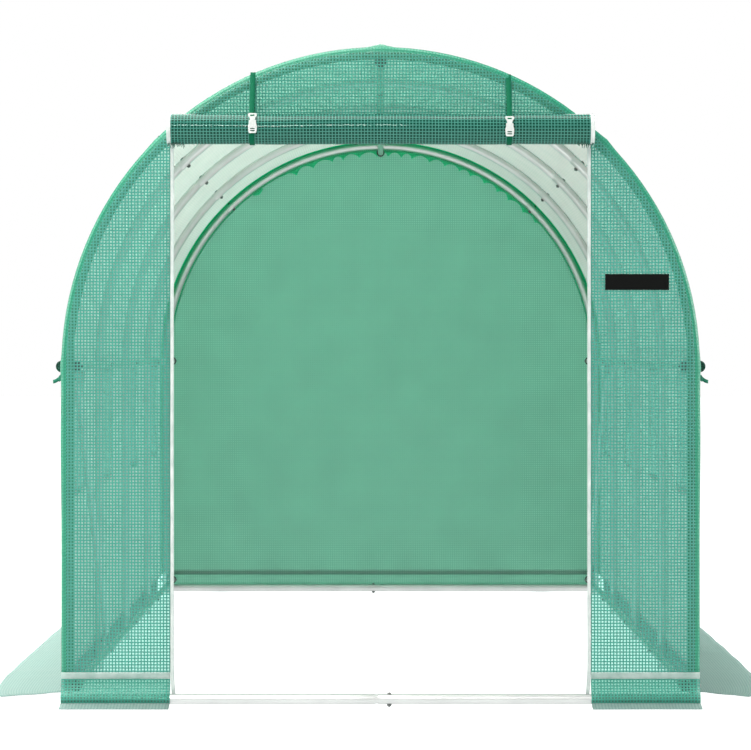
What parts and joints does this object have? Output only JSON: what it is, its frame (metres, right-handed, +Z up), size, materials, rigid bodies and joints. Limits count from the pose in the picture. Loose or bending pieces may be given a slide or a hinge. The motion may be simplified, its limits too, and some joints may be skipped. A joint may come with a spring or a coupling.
{
  "type": "polytunnel greenhouse",
  "caption": "Walk-in garden tunnel: galvanised hoops and rails under a fitted green mesh cover, with a roll-up door at the front, screened side windows and ground skirts.",
  "frame": {"origin": "on the ground, under the middle of the tunnel", "axes": "+X to the right seen from the front, +Y back along the tunnel, +Z up; the door faces -Y"},
  "size_m": [2.5686, 4.7131, 2.0683],
  "materials": {
    "galvanised_tube": "galvanised, satin",
    "tube_cap": "moulded, matt",
    "cover_mesh": "coated mesh sheet, half clear",
    "rolled_mesh": "rolled coated mesh sheet",
    "skirt_mesh": "coated mesh sheet, half clear",
    "insect_screen": "fine open netting",
    "zip_tape": "woven tape",
    "webbing": "woven webbing",
    "buckle_plastic": "moulded, glossy"
  },
  "bodies": {
    "root": {"hoop_1_legs": "galvanised_tube", "hoop_1_bends": "galvanised_tube", "hoop_1_crown": "galvanised_tube", "hoop_2_legs": "galvanised_tube", "hoop_2_bends": "galvanised_tube", "hoop_2_crown": "galvanised_tube", "hoop_3_legs": "galvanised_tube", "hoop_3_bends": "galvanised_tube", "hoop_3_crown": "galvanised_tube", "hoop_4_legs": "galvanised_tube", "hoop_4_bends": "galvanised_tube", "hoop_4_crown": "galvanised_tube", "hoop_5_legs": "galvanised_tube", "hoop_5_bends": "galvanised_tube", "hoop_5_crown": "galvanised_tube", "ridge_beam": "galvanised_tube", "left_mid_rail": "galvanised_tube", "right_mid_rail": "galvanised_tube", "left_base_rail": "galvanised_tube", "right_base_rail": "galvanised_tube", "front_base_bar": "galvanised_tube", "rear_base_bar": "galvanised_tube", "diagonal_braces": "galvanised_tube", "rail_end_caps": "tube_cap", "roof_strip_1": "cover_mesh", "roof_strip_2": "cover_mesh", "roof_strip_3": "cover_mesh", "roof_strip_4": "cover_mesh", "roof_strip_5": "cover_mesh", "roof_strip_6": "cover_mesh", "left_wall_sheet": "cover_mesh", "right_wall_sheet": "cover_mesh", "front_left_panel": "cover_mesh", "front_right_panel": "cover_mesh", "front_top_panel": "cover_mesh", "rear_panel": "cover_mesh", "door_zip_tapes": "zip_tape", "door_roll": "rolled_mesh", "door_straps": "webbing", "strap_buckles": "buckle_plastic", "window_screens": "insect_screen", "window_flap_rolls": "rolled_mesh", "window_ties": "webbing", "side_skirts": "skirt_mesh", "end_skirts": "skirt_mesh"}
  },
  "joints": []
}
